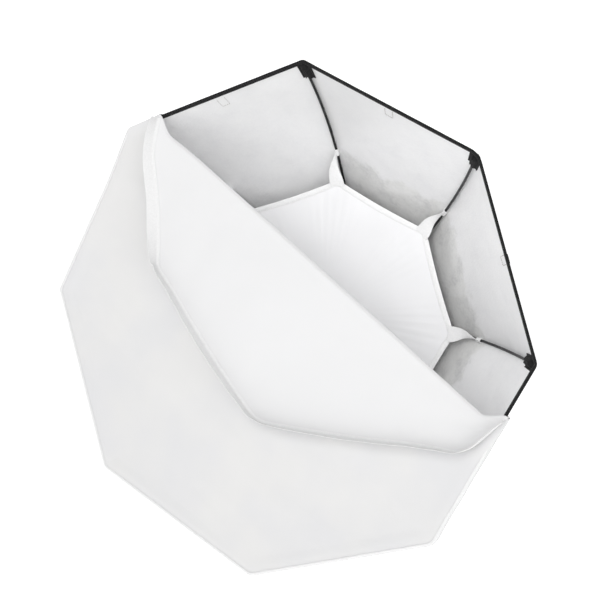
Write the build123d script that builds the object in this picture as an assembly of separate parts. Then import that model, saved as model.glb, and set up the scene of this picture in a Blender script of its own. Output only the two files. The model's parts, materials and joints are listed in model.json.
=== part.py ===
"""Octagonal studio softbox, 0.95 m across its corners, with an inner and a half-opened front diffuser.

Frame, in millimetres: the origin is on the softbox's axis, on the seat face that bears on the light.
+Y points back to the light, so the opening faces -Y. +Z is up and +X is to the right, seen from the front.
Corner 1 is at the top and the corners count clockwise, seen from the front.
Side k runs from corner k to corner k + 1.
"""
from build123d import *
import os
from math import acos, asin, cos, hypot, radians, sin, tan

# ---- driving sizes -------------------------------------------------------------------------------
SIDES = 8
HALF_SIDE = 180 / SIDES          # degrees from a corner's plane to the middle of a side
CORNER_TO_SIDE = cos(radians(HALF_SIDE))
REACH = 700                      # longer than anything that a cutting prism has to pass

# the spring rods: an arc from the socket's mouth to the tip in its corner pocket, as (radius, y)
ROD_RADIUS = 2.5
ROD_MOUTH = (78.0, -33.0)
ROD_TIP = (460.0, -424.0)
ROD_BOW = 44.0                   # how far the bent rod stands off its chord
ROD_IN_SOCKET = 14.0
ROD_END_GAP = 0.3                # between the rod's tip and the bottom of its cap's bore
CAP_RADIUS = 3.6
CAP_LENGTH = 10.0
CAP_BORE_DEPTH = 6.0

# the shell, measured outward from the rods' centre line
RIM_Y = -430.0                   # front edge of the shell
SHELL_GAP = 6.0
SHELL_THICK = 1.8
LINING = (-0.8, -0.2)            # the silver lining's two faces, from the panels' inner face
SHELL_REAR_RADIUS = 100.0        # the rods' radius where the panels end, near the ring
SEAM_GAP = 0.2                   # half the gap between two panels, under the seam binding

# the collar behind the shell, as (corner radius, y) at the ring and at the shell
COLLAR_RING = (81.0, -26.0)
COLLAR_SHELL = (105.5, -37.0)
COLLAR_THICK = 1.6

# the rim
BINDING_CORNER = 475.0           # outer corner radius of the black rim
BINDING_WIDE = 6.4
BINDING_DEEP = 8.0
BINDING_ROUND = 10.0             # radius of its outer corners
BINDING_CLEAR = 0.2              # between it and the shell's front edge
TAPE_SET_BACK = 2.0              # the tape's front edge lies this far behind the rim
TAPE_WIDE = 22.0                 # hook-and-loop tape round the outside of the rim
TAPE_THICK = 1.2
TAPE_END_GAP = 2.0               # its ends stop this far from each corner's plane
TAB_WIDE = 16.0
TAB_LONG = 28.0

# the front diffuser
CLOTH = 1.6
CLOTH_GAP = 0.6                  # between the cloth and the rim
LIP_CORNER = 478.6
LIP_THICK = 1.4
LIP_DEEP = 25.0
FOLD_SHARE_8 = 0.815             # the fold leaves side 8 at this share of it, from corner 1
FOLD_SHARE_3 = 0.286             # and side 3 at this share, from corner 3
FOLD_CUT = 2.0                   # each half stops this short of the fold's line
FOLD_LIFT = 4.0                  # the fold's axis is this far in front of the cloth
FOLD_ANGLE = 178.0               # how far the flap is folded back

# the inner diffuser
INNER_CORNER = 273.0
INNER_Y = RIM_Y + 225.0
HEM_WIDE = 12.0
HEM_PROUD = 0.6                  # how far the hem stands off each face of the cloth
STRAP_WIDE = 16.0
STRAP_THICK = 1.4
STRAP_FORWARD = 23.0             # how much nearer the opening a strap meets its rod
STRAP_LOOP_GAP = 0.3
STRAP_HEM_GAP = 0.6

# the speed ring and the bayonet insert
RING_OUTER = 74.0
RING_BORE = 60.0
RING_FRONT = -40.0
RING_REAR = -7.3
BOSS_RADIUS = 5.5
SOCKET_BORE = 2.56
LIGHT_PORT = 44.5
SPIGOT_RADIUS = 48.5
SPIGOT_LONG = 12.0
SEAT_RADIUS = 54.0
HUB_RADIUS = 59.95
FLANGE_RADIUS = 66.0
PLATE_RADIUS = 67.0
HUB_REAR = -7.0
FLANGE_THICK = 3.0
FLANGE_GAP = 0.3                 # between the flange and the ring's front face
PLATE_REAR = -4.0
PLATE_BORE_GAP = 0.1
LUG_RADIUS = 53.0
LUG_SPAN = (8.0, 11.5)           # the lugs' front and rear faces
LUG_DEGREES = 34.0
LUG_TURNS = (90, 210, 330)
SCREW_RADIUS = 1.25
SCREW_CIRCLE = 57.0
SCREW_HEAD = (2.3, 1.6)          # radius and height
SCREW_TIP = -14.0
SCREW_DEGREES = (45, 135, 225, 315)
THREAD_GAP = 0.05
PASSING_GAP = 0.15
HEX_SOCKET = (0.9, 1.0)          # radius across its corners, and depth

# the lock knob
KNOB_ANGLE = -67.5
KNOB_Y = -14.5
KNOB_HOLE = 3.1
STUD_RADIUS = 3.0
SHOE_SPAN = (60.3, 64.0)         # radii of the shoe's two ends
STUD_SPAN = (64.2, 92.0)
KNOB_SPAN = (88.0, 102.0)
KNOB_RADIUS = 11.0
KNOB_BOSS = 82.0
KNOB_BOSS_ROOT = 8.0             # how far the boss is sunk in the ring

# ---- the rods' circle ----------------------------------------------------------------------------
_dr, _dy = ROD_TIP[0] - ROD_MOUTH[0], ROD_TIP[1] - ROD_MOUTH[1]
CHORD = hypot(_dr, _dy)
ARC_RADIUS = CHORD**2 / (8 * ROD_BOW) + ROD_BOW / 2
OUTWARD = (-_dy / CHORD, _dr / CHORD)
ARC_R = (ROD_MOUTH[0] + ROD_TIP[0]) / 2 - (ARC_RADIUS - ROD_BOW) * OUTWARD[0]
ARC_Y = (ROD_MOUTH[1] + ROD_TIP[1]) / 2 - (ARC_RADIUS - ROD_BOW) * OUTWARD[1]


def arc_point(angle, offset=0.0):
    """(radius, y) on the rods' circle, offset outward. The angle grows from the tip to the ring."""
    reach = ARC_RADIUS + offset
    return ARC_R + reach * cos(angle), ARC_Y + reach * sin(angle)


def angle_at_radius(radius, offset=0.0):
    return acos((radius - ARC_R) / (ARC_RADIUS + offset))


def angle_at_y(y, offset=0.0):
    return asin((y - ARC_Y) / (ARC_RADIUS + offset))


def radius_at_y(y, offset=0.0):
    return arc_point(angle_at_y(y, offset), offset)[0]


MOUTH_ANGLE = angle_at_radius(ROD_MOUTH[0])
TIP_ANGLE = angle_at_radius(ROD_TIP[0])


def corner_degrees(k):
    return 90.0 - 360.0 / SIDES * (k - 1)


def side_degrees(k):
    return corner_degrees(k) - HALF_SIDE


def radial_plane(degrees):
    """The plane through the axis at that angle: its x is the radius and its y is the row's y."""
    a = radians(degrees)
    return Plane(origin=(0, 0, 0), x_dir=(cos(a), 0, sin(a)), z_dir=(-sin(a), 0, cos(a)))


def polar(radius, degrees, y=0.0):
    a = radians(degrees)
    return Vector(radius * cos(a), y, radius * sin(a))


def polygon(points):
    return make_face(Polyline(*points, close=True))


def front_face(points):
    """A face from (x, z) points, in the plane y = 0."""
    return Plane(origin=(0, 0, 0), x_dir=(1, 0, 0), z_dir=(0, -1, 0)) * polygon(points)


def front_slab(points, y_front, y_rear):
    """A slab whose outline is (x, z) points, from y_front back to y_rear."""
    return Pos(0, y_rear, 0) * extrude(front_face(points), amount=y_rear - y_front)


def octagon(corner):
    points = [polar(corner, corner_degrees(k)) for k in range(1, SIDES + 1)]
    return [(p.X, p.Z) for p in points]


def side_wedge(k, gap=0.0):
    """The space that belongs to side k, short of its two corner planes by gap."""
    start = gap / sin(radians(HALF_SIDE))
    tip = polar(start, side_degrees(k))
    far = REACH / CORNER_TO_SIDE
    ends = [tip + polar(far, side_degrees(k) + turn) for turn in (HALF_SIDE, -HALF_SIDE)]
    return front_slab([(p.X, p.Z) for p in (tip, *ends)], -REACH, REACH / 10)


def mid_side(points):
    """Points given as (corner radius, y), moved in to the middle of a side."""
    return [(radius * CORNER_TO_SIDE, y) for radius, y in points]


def on_side(face, k, gap=0.0):
    """A mid-side section, swept along side k and mitred at its two corners."""
    run = extrude(radial_plane(side_degrees(k)) * face, amount=BINDING_CORNER, both=True)
    return run & side_wedge(k, gap)


def all_round(points, sides=range(1, SIDES + 1)):
    """The same section, as (corner radius, y) points, on several sides, joined into one solid."""
    face = polygon(mid_side(points))
    pieces = [on_side(face, k) for k in sides]
    whole = pieces[0]
    for piece in pieces[1:]:
        whole = whole + piece
    return whole


def arc_points(offset, from_angle, to_angle):
    """Points along an offset of the rods' circle, as (corner radius, y)."""
    steps = 8
    return [arc_point(from_angle + (to_angle - from_angle) * i / steps, offset) for i in range(steps + 1)]


def band(near, far):
    """The face between two smooth rows of points that run the same way."""
    edges = [Spline(*near), Line(near[-1], far[-1]), Spline(*far), Line(far[0], near[0])]
    return make_face(edges)


def side_band(inner, outer, from_angle, to_angle):
    """The strip between two offsets of the rods' circle, at the middle of a side."""
    near, far = (mid_side(arc_points(offset, from_angle, to_angle)) for offset in (inner, outer))
    return band(near, far)


def corner_band(inner, outer, from_angle, to_angle):
    """The same strip at a corner."""
    return band(arc_points(inner, from_angle, to_angle), arc_points(outer, from_angle, to_angle))


def round_bar(start, end, radius):
    """A round bar between two (radius, y) points of a radial plane, still in that plane."""
    start, end = Vector(*start), Vector(*end)
    return Plane(origin=start, z_dir=end - start) * Cylinder(
        radius, (end - start).length, align=(Align.CENTER, Align.CENTER, Align.MIN))


def at_corner(solid, k):
    return radial_plane(corner_degrees(k)).location * solid


# ---- the rods, their caps and their pockets ------------------------------------------------------
def step_along(angle, distance, offset=0.0):
    """The point that lies distance along the tangent, towards the tip, from the arc at that angle."""
    r, y = arc_point(angle, offset)
    return r + distance * sin(angle), y - distance * cos(angle)


def rod():
    """One rod in its radial plane: straight in the socket, then bent to the tip."""
    end_angle = TIP_ANGLE + (CAP_LENGTH - CAP_BORE_DEPTH + ROD_END_GAP) / ARC_RADIUS
    butt = step_along(MOUTH_ANGLE, -ROD_IN_SOCKET)
    middle = arc_point((MOUTH_ANGLE + end_angle) / 2)
    path = Line(butt, ROD_MOUTH) + ThreePointArc(ROD_MOUTH, middle, arc_point(end_angle))
    section = Plane(origin=butt, z_dir=path.edges()[0] % 0) * Circle(ROD_RADIUS)
    return sweep(section, path=path)


def rod_cap():
    """The nylon cap on a rod's tip: a domed plug with a short bore."""
    base = step_along(TIP_ANGLE, -CAP_LENGTH)
    body = round_bar(base, ROD_TIP, CAP_RADIUS)
    dome = fillet(body.edges().sort_by_distance(Vector(*ROD_TIP))[:1], CAP_RADIUS * 0.6)
    bore_end = step_along(TIP_ANGLE, CAP_BORE_DEPTH - CAP_LENGTH)
    return dome - round_bar(step_along(TIP_ANGLE, -CAP_LENGTH - 1), bore_end, ROD_RADIUS + 0.1)


def corner_pocket():
    """The webbing pocket that a rod's tip pushes into, shaped to the shell's corner."""
    half, narrow = 13.0, 6.0         # half its width at the shell, and half the width of its inner face
    side, deep = 5.5, 7.5            # how far in from the rod its sides and its inner face reach
    long, front_wall, clear = 30.0, 2.0, 0.3
    outer = SHELL_GAP - 1.6
    flank = outer - half * tan(radians(HALF_SIDE))
    section = polygon([(0, outer), (half, flank), (half, -side), (narrow, -deep),
                       (-narrow, -deep), (-half, -side), (-half, flank)])
    # the section's y is the outward normal and its z runs from the tip back along the rod
    normal = Vector(cos(TIP_ANGLE), sin(TIP_ANGLE), 0)
    back = Vector(-sin(TIP_ANGLE), cos(TIP_ANGLE), 0)
    plane = Plane(origin=step_along(TIP_ANGLE, front_wall), x_dir=normal.cross(back), z_dir=back)
    hole = round_bar(step_along(TIP_ANGLE, clear), step_along(TIP_ANGLE, -long), CAP_RADIUS + clear)
    return extrude(plane * section, amount=long) - hole


# ---- the shell -----------------------------------------------------------------------------------
def shell_panel(k):
    front = angle_at_y(RIM_Y, SHELL_GAP)
    rear = angle_at_radius(SHELL_REAR_RADIUS)
    return on_side(side_band(SHELL_GAP, SHELL_GAP + SHELL_THICK, front, rear), k, SEAM_GAP)


def silver_lining(k):
    """The reflective layer on the inside of one panel."""
    front = angle_at_y(RIM_Y + 1, SHELL_GAP)
    rear = angle_at_radius(SHELL_REAR_RADIUS)
    return on_side(side_band(SHELL_GAP + LINING[0], SHELL_GAP + LINING[1], front, rear), k, SEAM_GAP)


def seam_binding(k):
    """The tape sewn over the seam between two panels, on the outside."""
    half_wide, clear = 5.0, 0.3
    inner = SHELL_GAP + SHELL_THICK + clear
    front = angle_at_y(RIM_Y + TAPE_WIDE + 6.0)
    strip = corner_band(inner, inner + 1.2, front, angle_at_radius(SHELL_REAR_RADIUS + 12))
    return extrude(radial_plane(corner_degrees(k)) * strip, amount=half_wide, both=True)


def rim_binding():
    inner = BINDING_CORNER - BINDING_WIDE / CORNER_TO_SIDE
    front, rear = RIM_Y - BINDING_DEEP, RIM_Y - BINDING_CLEAR
    ring = all_round([(inner, front), (BINDING_CORNER, front), (BINDING_CORNER, rear), (inner, rear)])
    edges = ring.edges().filter_by(Axis.Y)
    corners = [e for e in edges if hypot(e.center().X, e.center().Z) > BINDING_CORNER - 1]
    return fillet(corners, BINDING_ROUND)


def loop_tape(k):
    inner = SHELL_GAP + SHELL_THICK + 0.2
    front = RIM_Y + TAPE_SET_BACK
    strip = side_band(inner, inner + TAPE_THICK, angle_at_y(front), angle_at_y(front + TAPE_WIDE))
    return on_side(strip, k, TAPE_END_GAP)


def side_tab(k):
    """The pull tab sewn on the middle of a side, over the tape."""
    inner = SHELL_GAP + SHELL_THICK + TAPE_THICK + 0.5
    front = RIM_Y + TAPE_SET_BACK
    strip = side_band(inner, inner + TAPE_THICK, angle_at_y(front), angle_at_y(front + TAB_LONG))
    return extrude(radial_plane(side_degrees(k)) * strip, amount=TAB_WIDE / 2, both=True)


def rear_collar():
    """The fabric collar that closes the gap between the panels and the ring."""
    behind = [(radius, y + COLLAR_THICK) for radius, y in (COLLAR_SHELL, COLLAR_RING)]
    return all_round([COLLAR_RING, COLLAR_SHELL, *behind])


def collar_elastic():
    """The elastic cord in the collar's hem, round the ring."""
    radius, out, clear = 1.5, 0.7, 0.2
    centre = COLLAR_RING[0] * CORNER_TO_SIDE + out, COLLAR_RING[1] + COLLAR_THICK + radius + clear
    section = radial_plane(0) * (Pos(*centre) * Circle(radius))
    return revolve(section, axis=Axis.Y)


# ---- the inner diffuser --------------------------------------------------------------------------
def inner_diffuser():
    return front_slab(octagon(INNER_CORNER - HEM_WIDE), INNER_Y, INNER_Y + CLOTH)


def inner_hem():
    inner, outer = INNER_CORNER - HEM_WIDE + 0.2, INNER_CORNER
    front, rear = INNER_Y - HEM_PROUD, INNER_Y + CLOTH + HEM_PROUD
    return all_round([(inner, front), (outer, front), (outer, rear), (inner, rear)])


def inner_strap():
    """One strap in its radial plane: a tongue that slants forward from the hem's corner, and its loop."""
    start_y = INNER_Y + CLOTH / 2
    angle = angle_at_y(start_y - STRAP_FORWARD)
    rod_radius, rod_y = arc_point(angle)
    loop_radius = ROD_RADIUS + STRAP_LOOP_GAP
    half = STRAP_WIDE / 2
    low, high = step_along(angle, -half), step_along(angle, half)
    loop = round_bar(low, high, loop_radius + STRAP_THICK) - round_bar(low, high, loop_radius)
    start = Vector(INNER_CORNER + STRAP_HEM_GAP, start_y, 0)
    end = Vector(rod_radius, rod_y, 0)
    slant = (end - start).normalized()
    end = end - slant * (loop_radius + STRAP_THICK / 2)
    tongue = Box((end - start).length, STRAP_THICK, STRAP_WIDE)
    tongue = Plane(origin=(start + end) * 0.5, x_dir=slant, z_dir=(0, 0, 1)) * tongue
    core = round_bar(step_along(angle, -STRAP_WIDE), step_along(angle, STRAP_WIDE), loop_radius)
    return loop + (tongue - core)


# ---- the front diffuser --------------------------------------------------------------------------
FRONT_REAR = RIM_Y - BINDING_DEEP - CLOTH_GAP
FRONT_Y = FRONT_REAR - CLOTH
FOLD_Y = FRONT_Y - FOLD_LIFT


def along_side(k, share):
    start, end = (polar(LIP_CORNER, corner_degrees(c)) for c in (k, k + 1))
    return start + (end - start) * share


FOLD_START = along_side(8, 1 - FOLD_SHARE_8)
FOLD_END = along_side(3, FOLD_SHARE_3)
FOLD_DIRECTION = (FOLD_END - FOLD_START).normalized()
FLAP_SIDE = Vector(-FOLD_DIRECTION.Z, 0, FOLD_DIRECTION.X)


def half_space(sign):
    """Everything on the flap's side of the fold (1), or on the other (-1), short of it by the cut."""
    a, b = FOLD_START - FOLD_DIRECTION * REACH, FOLD_END + FOLD_DIRECTION * REACH
    near = FLAP_SIDE * (FOLD_CUT * sign)
    far = FLAP_SIDE * (3 * REACH * sign)
    return front_slab([(p.X, p.Z) for p in (a + near, b + near, b + far, a + far)], -REACH, REACH / 10)


def front_cloth(sign):
    inside_lip = LIP_CORNER - LIP_THICK - 0.1
    sheet = front_slab(octagon(inside_lip), FRONT_Y, FRONT_REAR)
    return sheet & half_space(sign)


def attached_lip():
    """The lip that holds the closed half: over the rim's edge, then down on the shell's tape."""
    out, clear = LIP_CORNER, 1.0
    rim_end, rear_end = RIM_Y + 1, RIM_Y + LIP_DEEP
    rear_out = radius_at_y(rear_end, SHELL_GAP + SHELL_THICK + 2 * TAPE_THICK + clear) + LIP_THICK
    section = [(out, FRONT_Y), (out, rim_end), (rear_out, rear_end), (rear_out - LIP_THICK, rear_end),
               (out - LIP_THICK, rim_end), (out - LIP_THICK, FRONT_Y)]
    return all_round(section, (3, 4, 5, 6, 7, 8)) & half_space(-1)


def open_lip():
    """The flap's lip, standing straight off the cloth."""
    out, rear = LIP_CORNER, FRONT_Y + LIP_DEEP
    section = [(out, FRONT_Y), (out, rear), (out - LIP_THICK, rear), (out - LIP_THICK, FRONT_Y)]
    return all_round(section, (8, 1, 2, 3)) & half_space(1)


def folded(solid):
    """A piece of the closed flap, turned back to where it hangs."""
    return solid.rotate(Axis((FOLD_START.X, FOLD_Y, FOLD_START.Z), FOLD_DIRECTION), FOLD_ANGLE)


# ---- the speed ring, the insert and the lock knob ------------------------------------------------
def turned(points):
    """A solid of revolution about the softbox's axis, from (radius, y) points."""
    return revolve(radial_plane(0) * polygon(points), axis=Axis.Y)


def at_knob(span, radius):
    """A round bar along the lock knob's radial axis."""
    plane = radial_plane(KNOB_ANGLE)
    return plane.location * round_bar((span[0], KNOB_Y), (span[1], KNOB_Y), radius)


def speed_ring():
    edge, beyond, butt_gap = 1.5, 5.0, 0.4
    front, rear, outer = RING_FRONT, RING_REAR, RING_OUTER
    ring = turned([(RING_BORE, front), (outer - edge, front), (outer, front + edge),
                   (outer, rear - edge), (outer - edge, rear), (RING_BORE, rear)])
    boss = round_bar(step_along(MOUTH_ANGLE, -ROD_IN_SOCKET), ROD_MOUTH, BOSS_RADIUS)
    socket_end = step_along(MOUTH_ANGLE, -ROD_IN_SOCKET - butt_gap)
    socket = round_bar(socket_end, step_along(MOUTH_ANGLE, beyond), SOCKET_BORE)
    for k in range(1, SIDES + 1):
        ring = ring + at_corner(boss, k)
    ring = ring + at_knob((outer - KNOB_BOSS_ROOT, KNOB_BOSS), BOSS_RADIUS)
    for k in range(1, SIDES + 1):
        ring = ring - at_corner(socket, k)
    return ring - at_knob((RING_BORE - beyond, KNOB_BOSS + beyond), KNOB_HOLE)


def bayonet_insert():
    """The part that stays on the light: front flange, hub, seat, spigot and three lugs."""
    flange_rear = RING_FRONT - FLANGE_GAP
    flange_front = flange_rear - FLANGE_THICK
    body = turned([(LIGHT_PORT, flange_front), (FLANGE_RADIUS, flange_front), (FLANGE_RADIUS, flange_rear),
                   (HUB_RADIUS, flange_rear), (HUB_RADIUS, HUB_REAR), (SEAT_RADIUS, HUB_REAR),
                   (SEAT_RADIUS, 0), (SPIGOT_RADIUS, 0), (SPIGOT_RADIUS, SPIGOT_LONG),
                   (LIGHT_PORT, SPIGOT_LONG)])
    (front, rear), root = LUG_SPAN, SPIGOT_RADIUS - 1
    lug_ring = turned([(root, front), (LUG_RADIUS, front), (LUG_RADIUS, rear), (root, rear)])
    for turn in LUG_TURNS:
        ends = [polar(REACH, turn + half) for half in (-LUG_DEGREES / 2, LUG_DEGREES / 2)]
        sector = front_slab([(p.X, p.Z) for p in (Vector(0, 0, 0), *ends)], 0, SPIGOT_LONG)
        body = body + (lug_ring & sector)
    for turn in SCREW_DEGREES:
        body = body - screw_bar(turn, SCREW_TIP - 2, HUB_REAR + 2, SCREW_RADIUS + THREAD_GAP)
    return body


def screw_bar(turn, y_front, y_rear, radius):
    centre = polar(SCREW_CIRCLE, turn, y_front)
    return Plane(origin=centre, z_dir=(0, 1, 0)) * Cylinder(
        radius, y_rear - y_front, align=(Align.CENTER, Align.CENTER, Align.MIN))


def retaining_plate():
    """The plate behind the ring that keeps it on the insert's hub."""
    bore = SEAT_RADIUS + PLATE_BORE_GAP
    front, rear = HUB_REAR, PLATE_REAR
    plate = turned([(bore, front), (PLATE_RADIUS, front), (PLATE_RADIUS, rear), (bore, rear)])
    for turn in SCREW_DEGREES:
        plate = plate - screw_bar(turn, front - 1, rear + 1, SCREW_RADIUS + PASSING_GAP)
    return plate


def retaining_screws():
    head_radius, head_height = SCREW_HEAD
    hex_radius, hex_depth = HEX_SOCKET
    top = PLATE_REAR + head_height
    made = []
    for turn in SCREW_DEGREES:
        head = screw_bar(turn, PLATE_REAR, top, head_radius)
        bottom = Plane(origin=polar(SCREW_CIRCLE, turn, top - hex_depth), z_dir=(0, 1, 0))
        socket = bottom * extrude(RegularPolygon(hex_radius, 6), amount=2 * hex_depth)
        made.append(head + screw_bar(turn, SCREW_TIP, PLATE_REAR, SCREW_RADIUS) - socket)
    return Compound(children=made)


def lock_knob():
    """The lobed knob: a disc with grip hollows round it and a bore for the stud."""
    hollows, hollow_radius = 8, 2.6
    circle = KNOB_RADIUS + 0.8
    low, high = KNOB_SPAN[0] - 1, KNOB_SPAN[1] + 1
    place = radial_plane(KNOB_ANGLE).location
    knob = at_knob(KNOB_SPAN, KNOB_RADIUS)
    for i in range(hollows):
        a = radians(360 / hollows * i)
        y = KNOB_Y + circle * cos(a)
        groove = round_bar((low, y), (high, y), hollow_radius)
        knob = knob - place * (Pos(0, 0, circle * sin(a)) * groove)
    return knob - at_knob((low, STUD_SPAN[1] + 0.1), STUD_RADIUS)


# ---- write one file for each sub-part ------------------------------------------------------------
def group(make):
    return Compound(children=[make(k) for k in range(1, SIDES + 1)])


parts = {
    "bayonet_insert": bayonet_insert(),
    "retaining_plate": retaining_plate(),
    "retaining_screws": retaining_screws(),
    "speed_ring": speed_ring(),
    "lock_shoe": at_knob(SHOE_SPAN, STUD_RADIUS),
    "lock_stud": at_knob(STUD_SPAN, STUD_RADIUS),
    "lock_knob": lock_knob(),
    "rod_caps": group(lambda k: at_corner(rod_cap(), k)),
    "corner_pockets": group(lambda k: at_corner(corner_pocket(), k)),
    "silver_linings": group(silver_lining),
    "seam_bindings": group(seam_binding),
    "rim_binding": rim_binding(),
    "rim_loop_tapes": group(loop_tape),
    "side_tabs": group(side_tab),
    "rear_collar": rear_collar(),
    "collar_elastic": collar_elastic(),
    "inner_diffuser": inner_diffuser(),
    "inner_diffuser_hem": inner_hem(),
    "front_diffuser": front_cloth(-1),
    "front_diffuser_lip": attached_lip(),
    "diffuser_flap": folded(front_cloth(1)),
    "flap_lip": folded(open_lip()),
}
one_rod = rod()
one_strap = inner_strap()
for corner in range(1, SIDES + 1):
    parts[f"rod_{corner}"] = at_corner(one_rod, corner)
    parts[f"inner_strap_{corner}"] = at_corner(one_strap, corner)
    parts[f"shell_panel_{corner}"] = shell_panel(corner)

os.makedirs("parts", exist_ok=True)
for name, shape in parts.items():
    export_step(shape, f"parts/{name}.step")
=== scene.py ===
"""Looks of the octagonal softbox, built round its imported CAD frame.

Metres, in the CAD's frame: +Y points back to the light, the opening faces -Y, +Z is up and +X is right.
Corner 1 is at the top and corners count clockwise seen from the front. Side k runs from corner k to k + 1.
"""
import json
import math

import bmesh
import bpy
import numpy as np
from mathutils import Matrix, Vector, noise


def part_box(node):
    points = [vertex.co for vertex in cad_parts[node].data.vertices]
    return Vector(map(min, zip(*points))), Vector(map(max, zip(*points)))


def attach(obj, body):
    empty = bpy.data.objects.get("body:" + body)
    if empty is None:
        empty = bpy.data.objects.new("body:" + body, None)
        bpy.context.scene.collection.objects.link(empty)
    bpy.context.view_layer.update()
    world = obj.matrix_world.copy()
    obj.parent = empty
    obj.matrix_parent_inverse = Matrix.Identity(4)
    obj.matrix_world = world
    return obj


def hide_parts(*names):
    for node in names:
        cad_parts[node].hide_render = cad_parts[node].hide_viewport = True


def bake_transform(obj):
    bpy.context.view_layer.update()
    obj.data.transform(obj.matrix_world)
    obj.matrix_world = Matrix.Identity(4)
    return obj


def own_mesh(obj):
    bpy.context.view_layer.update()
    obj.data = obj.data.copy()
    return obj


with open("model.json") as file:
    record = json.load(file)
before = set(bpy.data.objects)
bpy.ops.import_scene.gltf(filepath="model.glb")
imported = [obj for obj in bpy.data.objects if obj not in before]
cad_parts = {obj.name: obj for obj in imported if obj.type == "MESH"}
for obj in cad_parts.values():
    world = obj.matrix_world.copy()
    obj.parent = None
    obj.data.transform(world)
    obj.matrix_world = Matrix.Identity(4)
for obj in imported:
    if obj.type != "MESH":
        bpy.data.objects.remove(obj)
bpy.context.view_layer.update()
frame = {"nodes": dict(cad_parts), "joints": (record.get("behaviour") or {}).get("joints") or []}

# ---- sizes the looks share with the CAD ----
SIDES = 8
HALF_SIDE = math.pi / SIDES
TO_SIDE = math.cos(HALF_SIDE)
ROD_RADIUS = 0.0025
ROD_MOUTH = (0.078, -0.033)          # the rods' arc in a radial plane, as (radius, y)
ROD_TIP = (0.460, -0.424)
ROD_BOW = 0.044
SHELL_GAP = 0.006                    # from a rod's centre line to the shell
# the layers there, by how far each lies outward of the rods' circle
POCKET_OFF = SHELL_GAP - 0.0012
TAB_BOX_OFF = SHELL_GAP - 0.0011
LINING_OFF = SHELL_GAP - 0.0004
CLOTH_OFF = SHELL_GAP + 0.0009
SEAM_OFF = SHELL_GAP + 0.0026
TAPE_OFF = SHELL_GAP + 0.0028
TAB_OFF = SHELL_GAP + 0.0042
LIP_OFF = SHELL_GAP + 0.0052
SHELL_REAR_RADIUS = 0.100
FOLD_FROM_CORNER_1 = 0.815           # share of side 8, from corner 1, where the fold leaves the rim
FOLD_FROM_CORNER_3 = 0.286           # share of side 3, from corner 3, where it meets the rim again

RIM_FRONT, RIM_REAR = (end.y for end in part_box("rim_binding"))
RIM_CORNER = 0.4727                  # the binding's outer edge, at a corner
RIM_WIDE = 0.0049
RIM_LEAN = 0.42                      # the binding follows the slope of the shell
CLOTH_Y = sum(end.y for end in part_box("front_diffuser")) / 2
LIP_CORNER = -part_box("front_diffuser_lip")[0].x
LIP_LONG = 0.025
INNER_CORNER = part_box("inner_diffuser_hem")[1].x
INNER_Y = sum(end.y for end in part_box("inner_diffuser")) / 2
HEM_WIDE = 0.012
STRAP_FORWARD = 0.023                # how much nearer the opening a strap meets its rod
STRAP_END = 0.0080                   # half the width of its loop
SHADE_DEPTH = (-0.240, -0.222)       # y where painted shade begins on the lining, behind the inner diffuser
SHADE_SIDE = (-0.02, 0.05)           # x where that painted shade begins
TOP_SHADE = (0.33, 0.42)             # z where painted shade darkens the lining under the top of the rim


def joint(name):
    return next(j for j in frame["joints"] if j["name"] == name)


FOLD_AXIS = Vector(joint("flap_fold")["axis"]).normalized()
FOLD_POINT = Vector(joint("flap_fold")["pos_m"])
FLAP_ANGLE = -math.radians(joint("flap_fold")["range_deg"][0])
FLAP_SIDE = Vector((0, -1, 0)).cross(FOLD_AXIS)    # in the front plane, towards the closed flap
ROLL_RADIUS = CLOTH_Y - FOLD_POINT.y

# ---- the rods' circle ----
ROD_RISE = ROD_TIP[0] - ROD_MOUTH[0]
ROD_RUN = ROD_TIP[1] - ROD_MOUTH[1]
CHORD = math.hypot(ROD_RISE, ROD_RUN)
ARC_RADIUS = CHORD**2 / (8 * ROD_BOW) + ROD_BOW / 2
ARC_R = (ROD_MOUTH[0] + ROD_TIP[0]) / 2 + (ARC_RADIUS - ROD_BOW) * ROD_RUN / CHORD
ARC_Y = (ROD_MOUTH[1] + ROD_TIP[1]) / 2 - (ARC_RADIUS - ROD_BOW) * ROD_RISE / CHORD


def arc_point(angle, offset=0.0):
    """(radius, y) on the rods' circle, or offset outward of it."""
    reach = ARC_RADIUS + offset
    return ARC_R + reach * math.cos(angle), ARC_Y + reach * math.sin(angle)


def angle_at_radius(radius, offset=0.0):
    return math.acos((radius - ARC_R) / (ARC_RADIUS + offset))


def angle_at_y(y, offset=0.0):
    return math.asin((y - ARC_Y) / (ARC_RADIUS + offset))


def corner_angle(k):
    return math.pi / 2 - 2 * HALF_SIDE * (k - 1)


def side_angle(k):
    return corner_angle(k) - HALF_SIDE


def outward(angle):
    return np.array([math.cos(angle), 0.0, math.sin(angle)])


def clockwise(angle):
    """The way along a side from its first corner to its second."""
    return np.array([math.sin(angle), 0.0, -math.cos(angle)])


BACK = np.array([0.0, 1.0, 0.0])
TO_FRONT = -BACK


def corner(k, radius):
    """Corner k of an octagon with its corners at that radius, in the plane y = 0."""
    return outward(corner_angle(k)) * radius


def over_rod(k, angle, offset=0.0):
    """A point in rod k's plane, offset outward of its circle, and the outward normal there."""
    out = outward(corner_angle(k))
    radius, y = arc_point(angle, offset)
    return out * radius + BACK * y, out * math.cos(angle) + BACK * math.sin(angle)


def mid_side(k, angle, offset):
    """The middle of side k's panel between its two rods: the point, the outward normal, the rods' radius."""
    out = outward(side_angle(k))
    radius, y = arc_point(angle, offset)
    normal = out * math.cos(angle) + BACK * (TO_SIDE * math.sin(angle))
    return out * (radius * TO_SIDE) + BACK * y, normal / np.linalg.norm(normal), radius


# ---- meshes ----
def add_to_scene(thing):
    """Links it into the scene, and gives it back."""
    bpy.context.scene.collection.objects.link(thing)
    return thing


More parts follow.
